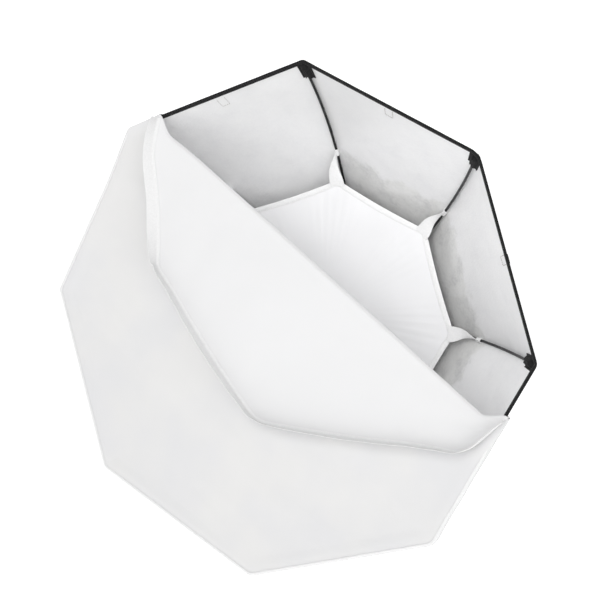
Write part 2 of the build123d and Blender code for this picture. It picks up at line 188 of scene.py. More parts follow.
class Pile:
    """Grids of points gathered into one mesh, each with UVs that run in metres."""

    def __init__(self):
        self.points, self.faces, self.uvs, self.count = [], [], [], 0

    def grid(self, points, wrap_rows=False, wrap_cols=False):
        points = np.asarray(points, float)
        rows, cols = points.shape[:2]
        index = self.count + np.arange(rows * cols).reshape(rows, cols)
        shown = points
        if wrap_rows:
            index, shown = np.vstack([index, index[:1]]), np.concatenate([shown, shown[:1]])
        if wrap_cols:
            index, shown = np.hstack([index, index[:, :1]]), np.concatenate([shown, shown[:, :1]], axis=1)
        down = np.linalg.norm(np.diff(shown, axis=0), axis=2).mean(1)
        across = np.linalg.norm(np.diff(shown, axis=1), axis=2).mean(0)
        v = np.concatenate([[0], np.cumsum(down)])[:, None] + np.zeros(index.shape)
        u = np.concatenate([[0], np.cumsum(across)])[None, :] + np.zeros(index.shape)
        uv = np.stack([u, v], -1)
        corners = [(slice(None, -1), slice(None, -1)), (slice(1, None), slice(None, -1)),
                   (slice(1, None), slice(1, None)), (slice(None, -1), slice(1, None))]
        self.faces.append(np.stack([index[c] for c in corners], -1).reshape(-1, 4))
        self.uvs.append(np.stack([uv[c] for c in corners], -2).reshape(-1, 2))
        self.points.append(points.reshape(-1, 3))
        self.count += rows * cols
        return self

    def tube(self, path, across, up, sections, closed=False):
        """Closed sections, as (across, up) points, one at each point of the path."""
        ways = np.broadcast_to(across, np.shape(path)), np.broadcast_to(up, np.shape(path))
        rings = [p + s[:, :1] * a + s[:, 1:] * u for p, a, u, s in zip(path, *ways, sections)]
        return self.grid(rings, wrap_rows=closed, wrap_cols=True)

    def thing(self, name, material, merge=0.0):
        """The pile as an object in the scene. Points closer than merge become one."""
        mesh = bpy.data.meshes.new(name)
        faces = np.concatenate(self.faces)
        mesh.from_pydata(np.concatenate(self.points).tolist(), [], faces.tolist())
        layer = mesh.uv_layers.new(name="metres")
        layer.data.foreach_set("uv", np.concatenate(self.uvs).ravel())
        mesh.validate()
        if merge:
            weld(mesh, merge)
        mesh.shade_smooth()
        mesh.materials.append(material)
        return add_to_scene(bpy.data.objects.new(name, mesh))

    def piece(self, name, material, slot, thick=0.0, stands_for=(), merge=0.0, body="softbox"):
        """A visible piece of the softbox. A sheet gets its thickness here, and rides on one body."""
        made = self.thing(name, material, merge)
        if thick:
            sharpen_border(made.data)
            solid = made.modifiers.new("cloth", "SOLIDIFY")
            solid.thickness, solid.offset, solid.use_even_offset = thick, 0.0, False
        if body:
            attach(made, body)
        if stands_for:
            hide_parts(*stands_for)
        return made


def weld(mesh, distance):
    """Joins the points that lie on each other, as at the ends of a sheet's shortest rows."""
    work = bmesh.new()
    work.from_mesh(mesh)
    bmesh.ops.remove_doubles(work, verts=work.verts, dist=distance)
    bmesh.ops.dissolve_degenerate(work, edges=work.edges, dist=distance)
    work.to_mesh(mesh)
    work.free()


def sharpen_border(mesh):
    """Keeps the shading of a sheet's face apart from that of its thin edge."""
    edge_of_loop = np.zeros(len(mesh.loops), int)
    mesh.loops.foreach_get("edge_index", edge_of_loop)
    faces_at_edge = np.bincount(edge_of_loop, minlength=len(mesh.edges))
    mesh.edges.foreach_set("use_edge_sharp", faces_at_edge == 1)


def ripple(points, size, seed=0.0):
    """Smooth noise from -1 to 1 at each point; size is the distance between its bumps."""
    points = np.asarray(points, float)
    shift = Vector((seed * 7.1, seed * 3.3, seed * 5.7))
    flat = [noise.noise(Vector(p) / size + shift) for p in points.reshape(-1, 3)]
    return np.array(flat).reshape(points.shape[:-1])


def smooth_step(t):
    t = np.clip(t, 0.0, 1.0)
    return t * t * (3 - 2 * t)


def rounded_box(wide, deep, radius, steps=4):
    """A closed section with rounded corners, as (across, up) points round its middle."""
    points = []
    for sx, sy, start in ((1, 1, 0), (-1, 1, 90), (-1, -1, 180), (1, -1, 270)):
        centre = sx * (wide / 2 - radius), sy * (deep / 2 - radius)
        for i in range(steps + 1):
            a = math.radians(start + 90 * i / steps)
            points.append((centre[0] + radius * math.cos(a), centre[1] + radius * math.sin(a)))
    return points


def full_turn(steps):
    return np.linspace(0, 2 * math.pi, steps, endpoint=False)


def ellipse(wide, deep, steps=12):
    return [(wide / 2 * math.cos(a), deep / 2 * math.sin(a)) for a in full_turn(steps)]


THREAD_SHARES = (0.0, 0.15, 0.5, 0.85, 1.0)    # along one stitch
THREAD_GIRTHS = (0.15, 0.8, 1.0, 0.8, 0.15)    # its thickness there, as a share of its fullest


def stitches(pile, line, normals, pitch=0.004, long=0.0028, radius=0.0003):
    """A row of thread spindles, each long metres, one every pitch along a line of points on a surface."""
    line = np.asarray(line, float)
    normals = np.broadcast_to(normals, line.shape)
    steps = np.linalg.norm(np.diff(line, axis=0), axis=1)
    run = np.concatenate([[0], np.cumsum(steps)])
    for start in np.arange(pitch / 2, run[-1] - pitch / 2, pitch):
        ends = [np.array([np.interp(s, run, line[:, i]) for i in range(3)]) for s in (start, start + long)]
        up = np.array([np.interp(start, run, normals[:, i]) for i in range(3)])
        along = ends[1] - ends[0]
        across = np.cross(along, up)
        across /= np.linalg.norm(across) + 1e-12
        up = np.cross(across, along)
        up /= np.linalg.norm(up) + 1e-12
        path = [ends[0] + along * s + up * (radius * 0.6 * math.sin(math.pi * s)) for s in THREAD_SHARES]
        sections = [np.array(ellipse(2 * radius, 2 * radius, 6)) * g for g in THREAD_GIRTHS]
        pile.tube(path, across, up, sections)


# ---- materials ----
class Material:
    """A node material round one Principled shader, with short ways to add bump and colour."""

    def __init__(self, name, colour, roughness, **settings):
        self.made = bpy.data.materials.new(name)
        self.made.use_nodes = True
        self.tree = self.made.node_tree
        self.shader = self.tree.nodes["Principled BSDF"]
        self.set("Base Color", (*colour, 1))
        self.set("Roughness", roughness)
        for key, value in settings.items():
            self.set(key.replace("_", " "), value)
        self.height = None

    def set(self, socket, value):
        self.shader.inputs[socket].default_value = value

    def node(self, kind, **inputs):
        made = self.tree.nodes.new(kind)
        for key, value in inputs.items():
            made.inputs[key.replace("_", " ")].default_value = value
        return made

    def link(self, source, target):
        self.tree.links.new(source, target)

    def place(self, uv=False, scale=(1, 1, 1)):
        coordinates = self.node("ShaderNodeTexCoord").outputs["UV" if uv else "Object"]
        mapping = self.node("ShaderNodeMapping", Scale=scale)
        self.link(coordinates, mapping.inputs["Vector"])
        return mapping.outputs["Vector"]

    def noise(self, size, detail=3.0, stretch=(1, 1, 1)):
        made = self.node("ShaderNodeTexNoise", Scale=1 / size, Detail=detail)
        self.link(self.place(scale=stretch), made.inputs["Vector"])
        return made.outputs["Fac"]

    def cells(self, size):
        made = self.node("ShaderNodeTexVoronoi", Scale=1 / size)
        made.feature = "SMOOTH_F1"
        self.link(self.place(), made.inputs["Vector"])
        return made.outputs["Distance"]

    def weave(self, pitch):
        """Threads both ways along the UVs, one every pitch metres."""
        ways = []
        for direction in ("X", "Y"):
            wave = self.node("ShaderNodeTexWave", Scale=math.pi / (10 * pitch), Distortion=0.0)
            wave.bands_direction = direction
            self.link(self.place(uv=True), wave.inputs["Vector"])
            ways.append(wave.outputs["Fac"])
        return self.maths("MAXIMUM", *ways)

    def share(self, axis, start, end, wander, reach):
        """0 before start and 1 after end along an axis of the object, with the border wandering by reach."""
        parts = self.node("ShaderNodeSeparateXYZ")
        self.link(self.node("ShaderNodeTexCoord").outputs["Object"], parts.inputs[0])
        offset = self.maths("MULTIPLY", self.maths("SUBTRACT", wander, 0.5), reach * 2)
        share = self.node("ShaderNodeMapRange", From_Min=start, From_Max=end)
        share.interpolation_type = "SMOOTHSTEP"
        self.link(self.maths("ADD", parts.outputs[axis], offset), share.inputs["Value"])
        return share.outputs["Result"]

    def maths(self, operation, a, b):
        made = self.node("ShaderNodeMath")
        made.operation = operation
        for socket, value in zip(made.inputs, (a, b)):
            if isinstance(value, (int, float)):
                socket.default_value = value
            else:
                self.link(value, socket)
        return made.outputs["Value"]

    def ramp(self, value, *stops):
        """Colours by value: stops are (position, colour)."""
        made = self.node("ShaderNodeValToRGB")
        self.link(value, made.inputs["Fac"])
        elements = made.color_ramp.elements
        while len(elements) < len(stops):
            elements.new(0.5)
        for element, (position, colour) in zip(elements, stops):
            element.position, element.color = position, (*colour, 1)
        return made.outputs["Color"]

    def blend(self, share, a, b):
        """Colour a where share is 0, and b where it is 1."""
        made = self.node("ShaderNodeMix")
        made.data_type = "RGBA"
        for index, value in ((0, share), (6, a), (7, b)):    # its factor and its two colours
            if isinstance(value, (int, float)):
                made.inputs[index].default_value = value
            elif isinstance(value, tuple):
                made.inputs[index].default_value = (*value, 1)
            else:
                self.link(value, made.inputs[index])
        return made.outputs[2]

    def colour(self, output):
        self.link(output, self.shader.inputs["Base Color"])

    def rough(self, output, low, high):
        spread = self.node("ShaderNodeMapRange", To_Min=low, To_Max=high)
        self.link(output, spread.inputs["Value"])
        self.link(spread.outputs["Result"], self.shader.inputs["Roughness"])

    def bump(self, height, depth, strength=1.0):
        made = self.node("ShaderNodeBump", Strength=strength, Distance=depth)
        self.link(height, made.inputs["Height"])
        if self.height is not None:
            self.link(self.height, made.inputs["Normal"])
        self.height = made.outputs["Normal"]
        self.link(self.height, self.shader.inputs["Normal"])


def silver_lining_material():
    """Dimpled silver coating with a mottled tone. Painted shade darkens it, with a blotchy border, behind
    the inner diffuser towards the right, and less so under the top of the rim.
    """
    made = Material("silver_lining", (0.9, 0.9, 0.91), 0.42, Metallic=0.2)
    mottle = made.noise(0.035, 5.0)
    fine = made.noise(0.006, 3.0)
    both = made.maths("ADD", made.maths("MULTIPLY", mottle, 0.7), made.maths("MULTIPLY", fine, 0.3))
    open_part = made.ramp(both, (0.3, (0.90, 0.90, 0.91)), (0.52, (0.94, 0.94, 0.945)),
                          (0.75, (0.97, 0.97, 0.97)))
    # painted shade: the lining's colour where it lies behind the inner diffuser
    shaded = made.ramp(both, (0.3, (0.70, 0.70, 0.70)), (0.5, (0.85, 0.85, 0.84)),
                       (0.72, (0.93, 0.93, 0.92)))
    # painted shade under the top of the rim
    painted_top_shade = made.share("Z", *TOP_SHADE, mottle, 0.01)
    open_part = made.blend(made.maths("MULTIPLY", painted_top_shade, 0.35), open_part, (0.62, 0.62, 0.62))
    # painted shade behind the inner diffuser, only towards the right, with a wandering border
    painted_shade_wander = made.noise(0.028, 4.0)
    behind = made.share("Y", *SHADE_DEPTH, painted_shade_wander, 0.03)
    right = made.share("X", *SHADE_SIDE, painted_shade_wander, 0.02)
    made.colour(made.blend(made.maths("MULTIPLY", behind, right), open_part, shaded))
    made.rough(mottle, 0.34, 0.52)
    made.bump(made.cells(0.0032), 0.0007, 0.55)
    made.bump(mottle, 0.004, 0.25)
    return made.made


def grainy(name, colour, roughness, grain, dark, bright, rough=None, grain_bump=None, weave=None,
           **settings):
    """A material that wears from dark to bright with one noise.

    grain is that noise's (size, detail). dark and bright are (position, colour). rough is the roughness's
    (low, high). grain_bump is (depth, strength). weave is (pitch, depth, strength).
    """
    made = Material(name, colour, roughness, **settings)
    wear = made.noise(*grain)
    made.colour(made.ramp(wear, dark, bright))
    if rough:
        made.rough(wear, *rough)
    if weave:
        made.bump(made.weave(weave[0]), *weave[1:])
    if grain_bump:
        made.bump(wear, *grain_bump)
    return made


def white_cloth_material(name, white, shade, doubled=None):
    """Fine white cloth. Where it lies doubled, in front of the fold, it has the colour doubled."""
    made = Material(name, white, 0.82)
    made.set("Sheen Weight", 0.08)
    clouds = made.noise(0.13, 2.0)
    creases = made.noise(0.02, 5.0, stretch=(1.0, 1.0, 0.5))
    cloth = made.ramp(clouds, (0.35, shade), (0.62, white))
    if doubled:
        cloth = made.blend(made.share("Y", FOLD_POINT.y, CLOTH_Y, clouds, 0.0), doubled, cloth)
    made.colour(cloth)
    made.bump(creases, 0.0011, 0.22)
    made.bump(made.weave(0.0008), 0.00012, 0.5)
    return made.made


def white_tape_material(name, white):
    return grainy(name, (white,) * 3, 0.85, (0.003, 4.0), (0.3, (white * 0.96,) * 3),
                  (0.7, (white * 1.02,) * 3), weave=(0.0013, 0.0003, 0.8), Sheen_Weight=0.1).made


def thread_material(name, colour):
    made = Material(name, colour, 0.7)
    twist = made.noise(0.0008, 2.0)
    made.colour(made.blend(twist, tuple(c * 0.8 for c in colour), colour))
    made.bump(twist, 0.0002, 0.6)
    return made.made


def rod_material():
    made = grainy("black_rod", (0.03, 0.03, 0.032), 0.32, (0.012, 5.0), (0.45, (0.022, 0.022, 0.023)),
                  (0.8, (0.05, 0.05, 0.053)), rough=(0.26, 0.42), Metallic=0.6)
    made.bump(made.noise(0.0015, 3.0), 0.00005, 0.5)
    return made.made


def powder_coat_material():
    made = Material("powder_coat", (0.03, 0.03, 0.032), 0.45)
    grain = made.noise(0.0012, 3.0)
    wear = made.noise(0.02, 4.0)
    made.colour(made.ramp(wear, (0.4, (0.024, 0.024, 0.026)), (0.75, (0.042, 0.042, 0.045))))
    made.rough(grain, 0.38, 0.55)
    made.bump(grain, 0.00018, 0.6)
    return made.made


def machined_material(name, colour, roughness):
    made = Material(name, colour, roughness, Metallic=1.0)
    rings = made.noise(0.0018, 4.0, stretch=(1, 9, 1))
    made.colour(made.blend(made.noise(0.02, 4.0), tuple(c * 0.86 for c in colour), colour))
    made.rough(rings, roughness * 0.8, min(1.0, roughness * 1.35))
    made.bump(rings, 0.00008, 0.5)
    return made.made


def moulded_material():
    made = Material("moulded_black", (0.018, 0.018, 0.02), 0.5)
    grain = made.noise(0.0007, 2.0)
    made.colour(made.blend(made.noise(0.006, 3.0), (0.014, 0.014, 0.016), (0.026, 0.026, 0.028)))
    made.bump(grain, 0.0001, 0.6)
    return made.made


SILVER = silver_lining_material()
NYLON = grainy("black_nylon", (0.02, 0.02, 0.021), 0.62, (0.05, 4.0), (0.35, (0.017, 0.017, 0.018)),
               (0.7, (0.03, 0.03, 0.032)), rough=(0.52, 0.7), grain_bump=(0.003, 0.2),
               weave=(0.0009, 0.0002, 0.7), Sheen_Weight=0.12).made
WEBBING = grainy("black_webbing", (0.01, 0.01, 0.0105), 0.85, (0.004, 4.0), (0.3, (0.006, 0.006, 0.0065)),
                 (0.7, (0.015, 0.015, 0.0155)), grain_bump=(0.0004, 0.5), weave=(0.0016, 0.0005, 0.9),
                 Specular_IOR_Level=0.25, Sheen_Weight=0.04).made
LOOP_TAPE = grainy("loop_tape", (0.016, 0.016, 0.018), 0.95, (0.0016, 5.0), (0.35, (0.008, 0.008, 0.009)),
                   (0.65, (0.035, 0.035, 0.038)), grain_bump=(0.0012, 1.0), Sheen_Weight=0.35).made
FRONT_WHITE = white_cloth_material("front_diffusion", (0.685, 0.682, 0.678), (0.66, 0.66, 0.668),
                                   doubled=(0.73, 0.73, 0.735))
INNER_WHITE = white_cloth_material("inner_diffusion", (0.85, 0.85, 0.86), (0.83, 0.83, 0.84))
TAPE_WHITE = white_tape_material("white_tape", 0.9)
# the lips' tape is the white tape made darker: painted shade, which holds the brightly lit lips down and
# gives them a faint grey outline
SHADED_LIP_TAPE = white_tape_material("lip_tape_painted_shade", 0.80)
BLACK_THREAD = thread_material("black_thread", (0.03, 0.03, 0.032))
WHITE_THREAD = thread_material("white_thread", (0.85, 0.85, 0.86))
GREY_THREAD = thread_material("grey_thread", (0.42, 0.4, 0.38))

# ---- camera, light and stage ----
CAMERA_AT = Vector((0.732, -2.085, 0.236))
CAMERA_AZIMUTH, CAMERA_ELEVATION, CAMERA_ROLL = 22.71, 5.98, 5.95    # degrees
CAMERA_LENS, CAMERA_SENSOR = 60.0, 36.0    # millimetres


def make_camera():
    data = bpy.data.cameras.new("camera")
    data.lens, data.sensor_width = CAMERA_LENS, CAMERA_SENSOR
    camera = bpy.data.objects.new("camera", data)
    a, e = math.radians(CAMERA_AZIMUTH), math.radians(CAMERA_ELEVATION)
    back = Vector((math.sin(a) * math.cos(e), -math.cos(a) * math.cos(e), math.sin(e)))
    turn = Matrix.Rotation(math.radians(CAMERA_ROLL), 4, back)
    look = (-back).to_track_quat("-Z", "Y").to_matrix().to_4x4()
    camera.matrix_world = Matrix.Translation(CAMERA_AT) @ turn @ look
    bpy.context.scene.camera = add_to_scene(camera)


def area_light(name, place, aim, size, power):
    data = bpy.data.lights.new(name, "AREA")
    data.size, data.energy = size, power
    lamp = bpy.data.objects.new(name, data)
    lamp.location = place
    lamp.rotation_euler = (Vector(aim) - Vector(place)).to_track_quat("-Z", "Y").to_euler()
    return add_to_scene(lamp)


def make_stage():
    """A white floor that curves up into a wall far behind, so that no edge shows."""
    floor_z, front_y, back_y, bend, top_z, half = -0.95, -9.0, 5.0, 2.0, 8.0, 9.0
    curve = [(back_y + bend * math.sin(a), floor_z + bend * (1 - math.cos(a)))
             for a in np.linspace(0, math.pi / 2, 16)]
    profile = [(front_y, floor_z), *curve, (back_y + bend, top_z)]
    rows = [[(x, y, z) for x in np.linspace(-half, half, 5)] for y, z in profile]
    white = Material("floor_white", (0.93, 0.93, 0.93), 0.9)
    paint = white.noise(0.6, 2.0)
    white.colour(white.ramp(paint, (0.3, (0.925, 0.925, 0.925)), (0.7, (0.935, 0.935, 0.935))))
    white.set("Emission Color", (1, 1, 1, 1))
    white.set("Emission Strength", 0.42)
    floor = Pile().grid(rows).thing("floor", white.made)


def make_light():
    world = bpy.data.worlds.new("studio")
    world.use_nodes = True
    background = world.node_tree.nodes["Background"]
    background.inputs["Color"].default_value = (1.0, 1.0, 1.0, 1)
    background.inputs["Strength"].default_value = 0.56
    bpy.context.scene.world = world
    area_light("front", (0.5, -4.6, 1.3), (0, -0.3, 0), 2.6, 76)
    area_light("side", (3.0, -2.4, 0.4), (0, -0.3, 0), 1.8, 11)
    area_light("behind", (1.0, 2.6, 1.6), (0, 0, 0), 1.4, 14)
    view = bpy.context.scene.view_settings
    view.view_transform, view.look, view.exposure, view.gamma = "Standard", "None", 0.0, 1.0


make_camera()
make_stage()
make_light()

# ---- the shell ----
SHELL_SAG = 0.006                    # how far a panel is drawn in at its middle
PANEL_DEPTH = arc_point(angle_at_radius(SHELL_REAR_RADIUS))[1] - RIM_REAR


def panel_lift(k, base, across, shares):
    """How far a panel stands outward of its true curve: drawn in at its middle, creased at its seams."""
    middle = (1 - across[None, :] ** 2) * np.sin(np.pi * shares)[:, None]
    near_seam = np.exp(-(1 - np.abs(across))[None, :] * 9) * np.sin(np.pi * shares)[:, None] ** 0.5
    lift = -SHELL_SAG * middle
    lift += 0.0035 * middle * ripple(base, 0.11, k)
    lift += 0.0011 * middle ** 0.5 * ripple(base * np.array([1.0, 0.45, 1.0]), 0.028, k + 10)
    return lift + 0.0011 * near_seam * ripple(base, 0.014, k + 20)


def gore(k, offset, rows=56, cols=44, front_inset=0.0):
    """One panel of cloth between two rods: taut, drawn in a little, with fine creases from its seams."""
    start = angle_at_y(RIM_REAR + front_inset, SHELL_GAP)
    angles = np.linspace(start, angle_at_radius(SHELL_REAR_RADIUS), rows)
    shares = np.linspace(0, 1, rows)
    across = np.linspace(-1, 1, cols)
    points, normals = np.zeros((2, rows, cols, 3))
    for i, angle in enumerate(angles):
        middle, normals[i], radius = mid_side(k, angle, offset)
        half = radius * math.sin(HALF_SIDE) - 0.0003
        points[i] = middle + np.outer(across * half, clockwise(side_angle(k)))
    return points + normals * panel_lift(k, points, across, shares)[..., None]


def make_shell():
    """The eight panels' black cloth, and the silver lining inside them."""
    cloth, lining = Pile(), Pile()
    for k in range(1, SIDES + 1):
        cloth.grid(gore(k, CLOTH_OFF))
        lining.grid(gore(k, LINING_OFF, front_inset=0.0006))
    cloth.piece("shell_cloth", NYLON, "black_nylon", thick=0.0008,
                stands_for=[f"shell_panel_{k}" for k in range(1, SIDES + 1)])
    lining.piece("shell_lining", SILVER, "silver_fabric", thick=0.0004,
                 stands_for=["silver_linings"])


def seam_line(k, offset, shift, start, end):
    """Points and normals along the seam over rod k, shift to one side of it."""
    points, normals = zip(*[over_rod(k, angle, offset) for angle in np.linspace(start, end, 90)])
    return np.array(points) + clockwise(corner_angle(k)) * shift, np.array(normals)


def make_seams():
    """A folded tape over each seam, outside, and its two rows of stitches."""
    tape, thread = Pile(), Pile()
    half, edge_drop = 0.005, 0.0012      # half the tape's width, and how far its edges lie below its middle
    start, end = angle_at_y(RIM_REAR + 0.028), angle_at_radius(SHELL_REAR_RADIUS + 0.012)
    for k in range(1, SIDES + 1):
        rows = []
        for share in np.linspace(-1, 1, 9):
            line, normals = seam_line(k, SEAM_OFF, share * half, start, end)
            lift = 0.0004 * ripple(line, 0.02, k) - edge_drop * share**2
            rows.append(line + normals * lift[:, None])
        tape.grid(np.array(rows).transpose(1, 0, 2))
        for side in (-0.7, 0.7):
            line, normals = seam_line(k, SEAM_OFF + 0.0002, side * half, start, end)
            stitches(thread, line, normals, pitch=0.0055, long=0.004)
    tape.piece("seam_tape", WEBBING, "black_webbing", thick=0.0009, stands_for=["seam_bindings"])
    thread.piece("seam_thread", BLACK_THREAD, "black_webbing")


# ---- the rim ----
RIM_ROUNDING = {k: 0.012 for k in range(1, SIDES + 1)} | {1: 0.010, 2: 0.036, 8: 0.030}
RIM_EDGE = 0.0022                    # the binding's own folded edges


def octagon_path(radius, y, per_side=28, per_corner=8):
    """Points round the rim, with the outward direction at each. Each corner has its own rounding."""
    path, outs = [], []
    for k in range(1, SIDES + 1):
        after = k % SIDES + 1
        a, b = corner(k, radius), corner(after, radius)
        along = clockwise(side_angle(k))
        a = a + along * (RIM_ROUNDING[k] * math.tan(HALF_SIDE))
        b = b - along * (RIM_ROUNDING[after] * math.tan(HALF_SIDE))
        for t in np.linspace(0, 1, per_side):
            path.append(a + (b - a) * t + BACK * y)
            outs.append(outward(side_angle(k)))
        centre = outward(corner_angle(after)) * (radius - RIM_ROUNDING[after] / TO_SIDE) + BACK * y
        for t in np.linspace(0, 1, per_corner + 2)[1:-1]:
            way = outward(side_angle(k) - 2 * HALF_SIDE * t)
            path.append(centre + way * RIM_ROUNDING[after])
            outs.append(way)
    return np.array(path), np.array(outs)


def make_rim():
    """The black binding: a plump folded edge with a row of stitches near its inner side."""
    path, outs = octagon_path(RIM_CORNER - RIM_WIDE / 2 / TO_SIDE, (RIM_FRONT + RIM_REAR) / 2)
    deep = RIM_REAR - RIM_FRONT
    section = np.array(rounded_box(RIM_WIDE, deep, RIM_EDGE))
    section[:, 0] -= RIM_LEAN * section[:, 1]
    sections = [section * (1 + 0.05 * noise.noise(Vector(p) / 0.02)) for p in path]
    edge = Pile().tube(path, outs, BACK, sections, closed=True)
    edge.piece("rim_edge", WEBBING, "black_webbing", stands_for=["rim_binding"])
    thread = Pile()
    line = path - outs * (RIM_WIDE / 2 - RIM_EDGE) + TO_FRONT * (deep / 2 + 0.0001)
    stitches(thread, np.vstack([line, line[:1]]), TO_FRONT, pitch=0.0042)
    thread.piece("rim_thread", BLACK_THREAD, "black_webbing")


def side_strip(k, offset, low_y, high_y, half_wide=None, rows=8, cols=30):
    """A strip on the outside of side k: the whole side, or half_wide to each side of its middle."""
    along = clockwise(side_angle(k))
    points, normals = [], []
    for angle in np.linspace(angle_at_y(low_y), angle_at_y(high_y), rows):
        middle, normal, radius = mid_side(k, angle, offset)
        half = half_wide or radius * math.sin(HALF_SIDE) - 0.002
        points.append([middle + along * (half * t) for t in np.linspace(-1, 1, cols)])
        normals.append([normal] * cols)
    return np.array(points), np.array(normals)


def make_tapes_and_tabs():
    """Loop tape round the outside of the rim, a pull tab on each side, and its box of stitches inside."""
    tape, tab, thread, box_thread = Pile(), Pile(), Pile(), Pile()
    low, high = RIM_REAR + 0.002, RIM_REAR + 0.024
    half_tab = 0.008
    for k in range(1, SIDES + 1):
        points, normals = side_strip(k, TAPE_OFF, low, high)
        tape.grid(points + normals * (0.0003 * ripple(points, 0.03, k))[..., None])
        for row in (1, -2):
            stitches(thread, (points + normals * 0.0006)[row], normals[row], pitch=0.006, long=0.0042)
        points, normals = side_strip(k, TAB_OFF, low, high + 0.006, half_tab, rows=12, cols=8)
        free = smooth_step((np.linspace(0, 1, 12) - 0.55) / 0.45)[:, None]
        tab.grid(points + normals * (0.003 * free)[..., None])
        inside, normals = side_strip(k, TAB_BOX_OFF, low + 0.002, high, half_tab, rows=6, cols=6)
        along_panel = (inside[:, 0, 1] - RIM_REAR) / PANEL_DEPTH
        inside = inside + normals * panel_lift(k, inside, np.zeros(6), along_panel)[..., None]
        loop = np.vstack([inside[:, 0], inside[-1, 1:-1], inside[::-1, -1]])
        facing = -np.vstack([normals[:, 0], normals[-1, 1:-1], normals[::-1, -1]])
        stitches(box_thread, loop, facing, pitch=0.0036, long=0.0031, radius=0.0004)
    tape.piece("rim_tape", LOOP_TAPE, "hook_loop_tape", thick=0.001,
               stands_for=["rim_loop_tapes"])
    tab.piece("pull_tabs", WEBBING, "black_webbing", thick=0.0011, stands_for=["side_tabs"])
    thread.piece("tape_thread", BLACK_THREAD, "black_webbing")
    box_thread.piece("tab_thread", GREY_THREAD, "black_webbing")


POCKET_WIDE, POCKET_LONG = 0.0145, 0.033
POCKET_LAP = 0.005                   # how far it reaches over the binding
POCKET_STANDS = 0.0092               # how far it stands up over the rod's tip


def pocket_point(k, across, back):
    """A point on the pocket over rod k: across from its middle, back along the rod from the rim."""
    angle = angle_at_y(RIM_REAR + 0.0005) + back / ARC_RADIUS
    place, normal = over_rod(k, angle, POCKET_OFF)
    along = clockwise(side_angle(k)) if across > 0 else -clockwise(side_angle(k - 1))
    raised = 1 - smooth_step((abs(across) - 0.0015) / 0.0085)
    raised *= smooth_step((back + 0.004) / 0.007)
    return place + along * abs(across) - normal * (0.0008 + POCKET_STANDS * raised)


def make_pockets():
    """Webbing sewn across each corner, over the rod's tip. Its rear edge has two lobes and a notch."""
    webbing, thread = Pile(), Pile()
    for k in range(1, SIDES + 1):
        lean = noise.noise(Vector((k * 1.7, 0.3, 0.9)))
        rows = []
        for t in np.linspace(0, 1, 16):
            row = []
            for share in np.linspace(-1, 1, 29):
                lobe = POCKET_LONG + 0.004 * lean * np.sign(share) - 0.008 * math.exp(-(share / 0.30) ** 2)
                wide = POCKET_WIDE * (1 - 0.10 * t)
                row.append(pocket_point(k, share * wide + 1e-6, -POCKET_LAP + (lobe + POCKET_LAP) * t))
            rows.append(row)
        webbing.grid(np.array(rows)[:, ::-1])
        for share in (-0.8, 0.8):
            line = np.array([pocket_point(k, share * POCKET_WIDE * (1 - 0.1 * t), 0.027 * t)
                             for t in np.linspace(0.1, 1, 12)])
            inward = -outward(corner_angle(k))
            stitches(thread, line + inward * 0.0008, inward, pitch=0.0034, long=0.0026)
    webbing.piece("corner_webbing", WEBBING, "black_webbing", thick=0.0014,
                  stands_for=["corner_pockets"])
    thread.piece("corner_thread", BLACK_THREAD, "black_webbing")


# ---- the rear collar ----
GATHERS = 56                         # folds in the collar
ELASTIC_THICK = 0.0028


def make_collar():
    """A gathered cone from the panels to the ring, and the elastic in its hem."""
    inner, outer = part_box("collar_elastic"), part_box("rear_collar")
    angles = full_turn(8 * GATHERS)
    ways = [outward(a) for a in angles]
    rows = []
    for t in np.linspace(0, 1, 12):
        y = outer[0].y + 0.0012 + (inner[0].y - outer[0].y + 0.001) * smooth_step(t * 0.9 + 0.05)
        gathered = 0.0011 * smooth_step(t * 1.3 - 0.15)
        ring = []
        for a, way in zip(angles, ways):
            off_corner = (a + HALF_SIDE) % (2 * HALF_SIDE) - HALF_SIDE
            octagonal = outer[1].x * TO_SIDE / math.cos(HALF_SIDE - abs(off_corner))
            radius = octagonal + (inner[1].x - 0.001 - octagonal) * t
            fold = gathered * math.sin(GATHERS * a + 1.3 * math.sin(3 * a))
            ring.append(way * radius + BACK * (y + fold))
        rows.append(ring)
    Pile().grid(rows, wrap_cols=True).piece(
        "collar_cloth", NYLON, "black_nylon", thick=0.0007, stands_for=["rear_collar"])
    path = np.array(ways) * (inner[1].x - 0.0015) + BACK * (inner[0].y + inner[1].y) / 2
    section = np.array(ellipse(ELASTIC_THICK, ELASTIC_THICK))
    sections = [section * (1 + 0.09 * math.sin(2 * GATHERS * a)) for a in angles]
    Pile().tube(path, ways, BACK, sections, closed=True).piece(
        "collar_hem", WEBBING, "elastic_black", stands_for=["collar_elastic"])


# ---- the inner diffuser ----
def inner_edge(angle, radius):
    """The edge's distance from the axis: straight between corners, drawn in a little at mid-side."""
    off_side = angle % (2 * HALF_SIDE) - HALF_SIDE
    pull = 0.0035 * (1 - (off_side / HALF_SIDE) ** 2)
    return radius * TO_SIDE / math.cos(off_side) - pull


def inner_ring(angles, radius, inset=0.0):
    """The inner diffuser's outline for corners at that radius, drawn in by inset."""
    return np.array([outward(a) * (inner_edge(a, radius) - inset) + BACK * INNER_Y for a in angles])


